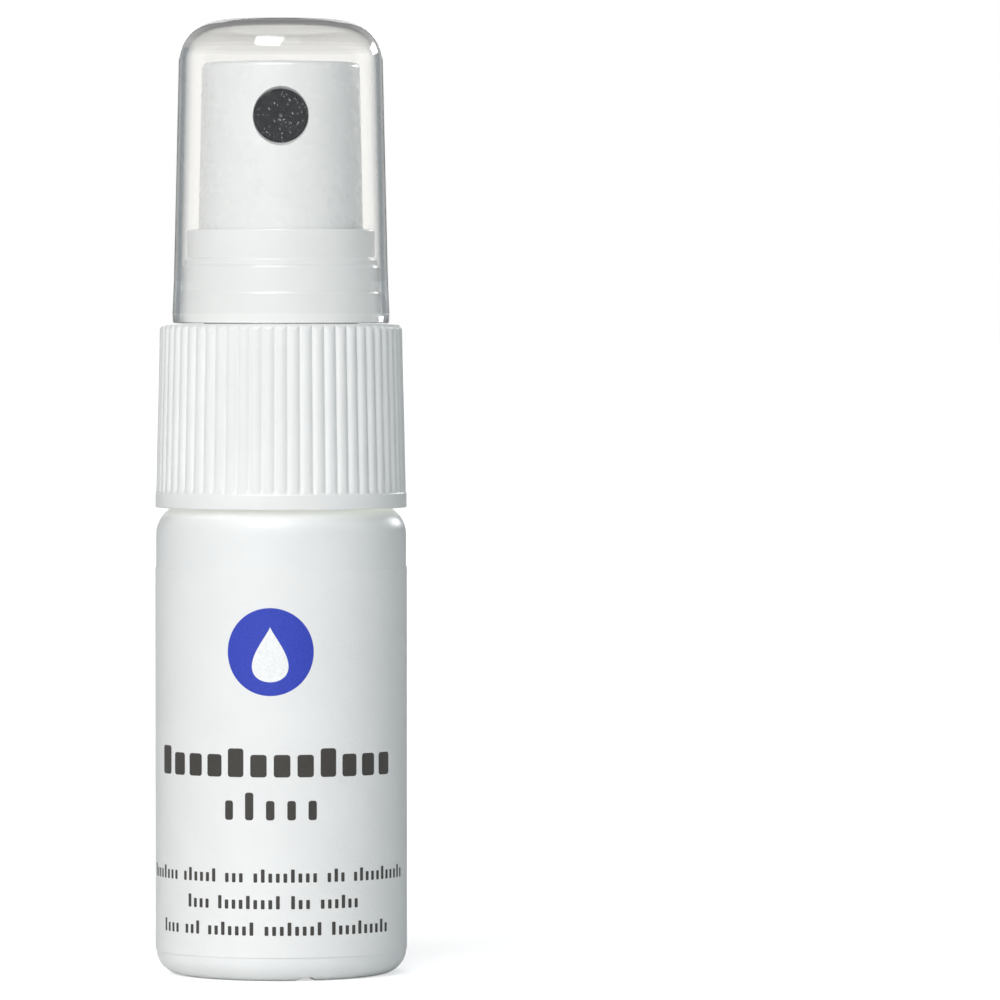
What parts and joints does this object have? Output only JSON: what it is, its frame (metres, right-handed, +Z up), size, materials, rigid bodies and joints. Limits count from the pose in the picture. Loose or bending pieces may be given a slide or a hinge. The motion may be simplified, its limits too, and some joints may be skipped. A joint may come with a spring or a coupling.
{
  "type": "lens cleaning spray",
  "caption": "Slim round pump-spray bottle for lens cleaning liquid: ribbed screw closure, fine-mist finger actuator in a guide collar, clear push-on overcap and a printed wrap label.",
  "frame": {"origin": "centre of the base, on the plane that the bottle stands on", "axes": "+Z up along the common turning axis, -Y the way the nozzle sprays and the printed side faces, +X to the right of that side"},
  "size_m": [0.0252, 0.0252, 0.0946],
  "materials": {
    "bottle_white": "satin moulded, opaque white",
    "label_film": "fine-grained white film",
    "label_ink_blue": "flat printed ink",
    "label_ink_dark": "flat printed ink",
    "closure_white": "satin moulded, white",
    "collar_white": "smooth moulded, white",
    "actuator_white": "smooth moulded, white",
    "nozzle_navy": "moulded, blue-black",
    "clear_cap": "polished, clear, slightly warm",
    "natural_polymer": "unpigmented, milky",
    "piston_white": "soft moulded",
    "gasket_foam": "closed-cell foam",
    "spring_steel": "bright drawn wire",
    "ball_steel": "polished"
  },
  "bodies": {
    "bottle_unit": {"bottle": "bottle_white", "wrap_label": "label_film"},
    "pump_unit": {"pump_housing": "natural_polymer", "guide_collar": "collar_white", "neck_gasket": "gasket_foam", "dip_tube": "natural_polymer", "return_spring": "spring_steel"},
    "closure_unit": {"closure": "closure_white"},
    "overcap_unit": {"overcap": "clear_cap"},
    "stem_unit": {"stem": "natural_polymer", "valve_core": "natural_polymer"},
    "actuator_unit": {"actuator": "actuator_white", "nozzle_insert": "nozzle_navy"},
    "piston_unit": {"piston": "piston_white"},
    "ball_unit": {"inlet_ball": "ball_steel"}
  },
  "joints": [
    {"name": "pump_lift", "type": "slide", "parent": "bottle_unit", "child": "pump_unit", "axis": [0, 0, 1], "range_m": [0, 0.00476]},
    {"name": "closure_turn", "type": "hinge", "parent": "pump_unit", "child": "closure_unit", "pos_m": [0, 0, 0.0462], "axis": [0, 0, 1], "range_deg": [0, 540]},
    {"name": "overcap_lift", "type": "slide", "parent": "pump_unit", "child": "overcap_unit", "axis": [0, 0, 1], "range_m": [0, 0.032]},
    {"name": "actuator_press", "type": "slide", "parent": "pump_unit", "child": "stem_unit", "axis": [0, 0, -1], "range_m": [0, 0.0045], "stiffness_N_per_m": 400, "springref_m": -0.005, "deforming": ["return_spring"]},
    {"name": "actuator_turn", "type": "hinge", "parent": "stem_unit", "child": "actuator_unit", "pos_m": [0, 0, 0.0715], "axis": [0, 0, 1], "continuous": true},
    {"name": "piston_slip", "type": "slide", "parent": "stem_unit", "child": "piston_unit", "axis": [0, 0, 1], "range_m": [0, 0.0006]},
    {"name": "ball_lift", "type": "slide", "parent": "pump_unit", "child": "ball_unit", "axis": [0, 0, 1], "range_m": [0, 0.0006]}
  ],
  "couplings": [
    {"joint": "pump_lift", "follows": "closure_turn", "m_per_rad": 0.00050532}
  ]
}
